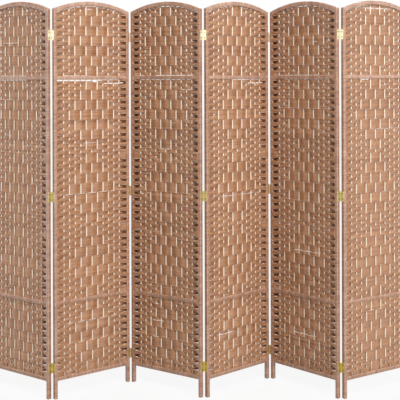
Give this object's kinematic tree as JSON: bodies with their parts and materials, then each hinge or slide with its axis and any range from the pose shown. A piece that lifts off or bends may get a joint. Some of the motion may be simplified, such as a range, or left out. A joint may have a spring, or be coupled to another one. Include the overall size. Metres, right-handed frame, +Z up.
{
  "type": "woven folding screen",
  "caption": "Free-standing folding room divider of hinged, arch-topped wooden frames filled with a diamond-patterned mat of brown paper cord over pale stakes.",
  "frame": {"origin": "on the floor, in the middle of the standing screen's footprint", "axes": "+Z up, +X along the length of the standing screen, +Y from its front towards its back"},
  "size_m": [1.9912, 0.3032, 1.8],
  "materials": {
    "wrapped_wood": "wrapped in twisted paper cord",
    "paper_cord": "woven twisted paper cord",
    "stake_wood": "bare pale wood",
    "brass": "plain brass plate"
  },
  "bodies": {
    "panel_1": {"panel_1_left_post": "wrapped_wood", "panel_1_right_post": "wrapped_wood", "panel_1_arch_rail": "wrapped_wood", "panel_1_bottom_rail": "wrapped_wood", "panel_1_cross_rails": "wrapped_wood", "panel_1_stakes": "stake_wood", "panel_1_mat": "paper_cord", "hinge_12_left_leaves": "brass", "hinge_12_pins": "brass"},
    "panel_2": {"panel_2_left_post": "wrapped_wood", "panel_2_right_post": "wrapped_wood", "panel_2_arch_rail": "wrapped_wood", "panel_2_bottom_rail": "wrapped_wood", "panel_2_cross_rails": "wrapped_wood", "panel_2_stakes": "stake_wood", "panel_2_mat": "paper_cord", "hinge_12_right_leaves": "brass", "hinge_23_left_leaves": "brass", "hinge_23_pins": "brass"},
    "panel_3": {"panel_3_left_post": "wrapped_wood", "panel_3_right_post": "wrapped_wood", "panel_3_arch_rail": "wrapped_wood", "panel_3_bottom_rail": "wrapped_wood", "panel_3_cross_rails": "wrapped_wood", "panel_3_stakes": "stake_wood", "panel_3_mat": "paper_cord", "hinge_23_right_leaves": "brass", "hinge_34_left_leaves": "brass", "hinge_34_pins": "brass"},
    "panel_4": {"panel_4_left_post": "wrapped_wood", "panel_4_right_post": "wrapped_wood", "panel_4_arch_rail": "wrapped_wood", "panel_4_bottom_rail": "wrapped_wood", "panel_4_cross_rails": "wrapped_wood", "panel_4_stakes": "stake_wood", "panel_4_mat": "paper_cord", "hinge_34_right_leaves": "brass", "hinge_45_left_leaves": "brass", "hinge_45_pins": "brass"},
    "panel_5": {"panel_5_left_post": "wrapped_wood", "panel_5_right_post": "wrapped_wood", "panel_5_arch_rail": "wrapped_wood", "panel_5_bottom_rail": "wrapped_wood", "panel_5_cross_rails": "wrapped_wood", "panel_5_stakes": "stake_wood", "panel_5_mat": "paper_cord", "hinge_45_right_leaves": "brass", "hinge_56_left_leaves": "brass", "hinge_56_pins": "brass"},
    "panel_6": {"panel_6_left_post": "wrapped_wood", "panel_6_right_post": "wrapped_wood", "panel_6_arch_rail": "wrapped_wood", "panel_6_bottom_rail": "wrapped_wood", "panel_6_cross_rails": "wrapped_wood", "panel_6_stakes": "stake_wood", "panel_6_mat": "paper_cord", "hinge_56_right_leaves": "brass"}
  },
  "joints": [
    {"name": "fold_34", "type": "hinge", "parent": "panel_3", "child": "panel_4", "pos_m": [0.0271, -0.11345, 0.9], "axis": [0, 0, 1], "range_deg": [-75.5, 104.5]},
    {"name": "fold_45", "type": "hinge", "parent": "panel_4", "child": "panel_5", "pos_m": [0.34522, 0.13729, 0.9], "axis": [0, 0, 1], "range_deg": [-93, 87]},
    {"name": "fold_56", "type": "hinge", "parent": "panel_5", "child": "panel_6", "pos_m": [0.64507, -0.13503, 0.9], "axis": [0, 0, 1], "range_deg": [-78, 102]},
    {"name": "fold_23", "type": "hinge", "parent": "panel_3", "child": "panel_2", "pos_m": [-0.32102, 0.09362, 0.9], "axis": [0, 0, 1], "range_deg": [-71, 109]},
    {"name": "fold_12", "type": "hinge", "parent": "panel_2", "child": "panel_1", "pos_m": [-0.65783, -0.13138, 0.9], "axis": [0, 0, 1], "range_deg": [-107, 73]}
  ]
}
